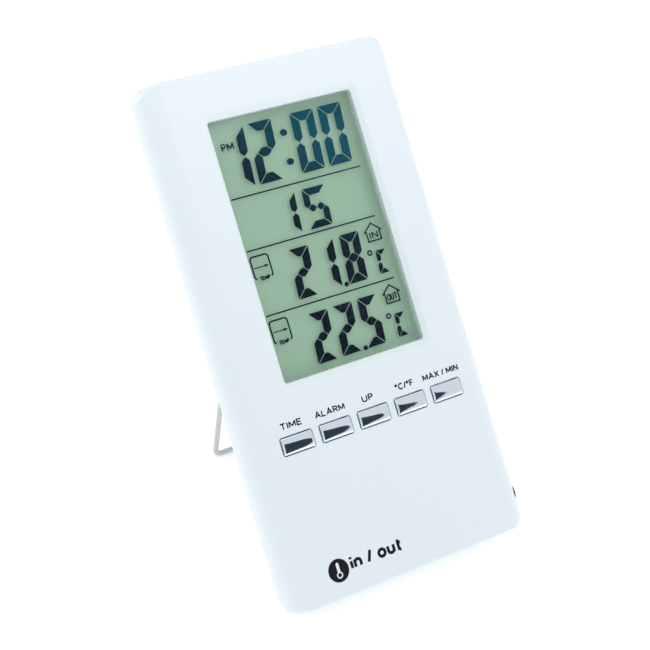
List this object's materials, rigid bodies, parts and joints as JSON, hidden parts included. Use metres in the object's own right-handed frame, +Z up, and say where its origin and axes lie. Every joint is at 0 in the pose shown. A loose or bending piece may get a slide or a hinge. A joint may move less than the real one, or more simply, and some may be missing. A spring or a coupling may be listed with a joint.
{
  "type": "maximum minimum thermometer",
  "caption": "Slim white desk thermometer: tall display, a row of chromed push buttons below it and a fold-out wire stand; shows time and indoor and outdoor temperatures.",
  "frame": {"origin": "on the table, under the middle of the standing unit's outline; x = 0 is the middle plane of the case", "axes": "+Z up, +X to the right of someone reading the display, the face looks along -Y and is leaned back 37.3 degrees"},
  "size_m": [0.0596, 0.0776, 0.0943],
  "materials": {
    "case_white": "satin moulded, faintly blue white",
    "clear_window": "clear polished acrylic",
    "display_glass": "grey green reflective display with dark segments",
    "display_film": "matt reflector film",
    "holder_white": "moulded, unpainted",
    "elastomer": "layered conductive elastomer",
    "board_laminate": "green solder mask on glass laminate",
    "black_epoxy": "cast epoxy",
    "small_metal": "nickel plated",
    "capacitor_sleeve": "shrink sleeve",
    "sounder_brass": "thin disc with a ceramic layer",
    "silicone": "moulded silicone",
    "button_chrome": "bright chromed plastic",
    "battery_sleeve": "plain printed film on a steel can",
    "socket_black": "moulded",
    "stand_wire": "bright drawn wire",
    "red_insulation": "extruded insulation",
    "black_insulation": "extruded insulation"
  },
  "bodies": {
    "case": {"front_shell": "case_white", "window_lens": "clear_window", "display_cell": "display_glass", "display_reflector": "display_film", "display_holder": "holder_white", "upper_connector_strip": "elastomer", "lower_connector_strip": "elastomer", "circuit_board": "board_laminate", "controller_blob": "black_epoxy", "clock_crystal": "small_metal", "indoor_sensor": "black_epoxy", "filter_capacitor": "capacitor_sleeve", "sounder": "sounder_brass", "key_mat": "silicone", "back_cover": "case_white", "battery": "battery_sleeve", "negative_spring": "small_metal", "positive_plate": "small_metal", "probe_socket": "socket_black", "case_screw_1": "small_metal", "case_screw_2": "small_metal", "case_screw_3": "small_metal", "case_screw_4": "small_metal", "board_screw_1": "small_metal", "board_screw_2": "small_metal", "board_screw_3": "small_metal", "board_screw_4": "small_metal", "battery_lead_positive": "red_insulation", "battery_lead_negative": "black_insulation", "sounder_lead_a": "red_insulation", "sounder_lead_b": "black_insulation"},
    "button_time": {"button_time": "button_chrome"},
    "button_alarm": {"button_alarm": "button_chrome"},
    "button_up": {"button_up": "button_chrome"},
    "button_unit": {"button_unit": "button_chrome"},
    "button_max_min": {"button_max_min": "button_chrome"},
    "battery_door": {"battery_door": "case_white"},
    "wire_stand": {"wire_stand": "stand_wire"}
  },
  "joints": [
    {"name": "stand_hinge", "type": "hinge", "parent": "case", "child": "wire_stand", "pos_m": [0, 0.01447, 0.05535], "axis": [1, 0, 0], "range_deg": [-44.5, 0]},
    {"name": "time_press", "type": "slide", "parent": "case", "child": "button_time", "axis": [0, 0.7955, -0.606], "range_m": [0, 0.0008]},
    {"name": "alarm_press", "type": "slide", "parent": "case", "child": "button_alarm", "axis": [0, 0.7955, -0.606], "range_m": [0, 0.0008]},
    {"name": "up_press", "type": "slide", "parent": "case", "child": "button_up", "axis": [0, 0.7955, -0.606], "range_m": [0, 0.0008]},
    {"name": "unit_press", "type": "slide", "parent": "case", "child": "button_unit", "axis": [0, 0.7955, -0.606], "range_m": [0, 0.0008]},
    {"name": "max_min_press", "type": "slide", "parent": "case", "child": "button_max_min", "axis": [0, 0.7955, -0.606], "range_m": [0, 0.0008]},
    {"name": "door_hinge", "type": "hinge", "parent": "case", "child": "battery_door", "pos_m": [0, -0.02562, 0.00091], "axis": [-1, 0, 0], "range_deg": [0, 45]}
  ]
}
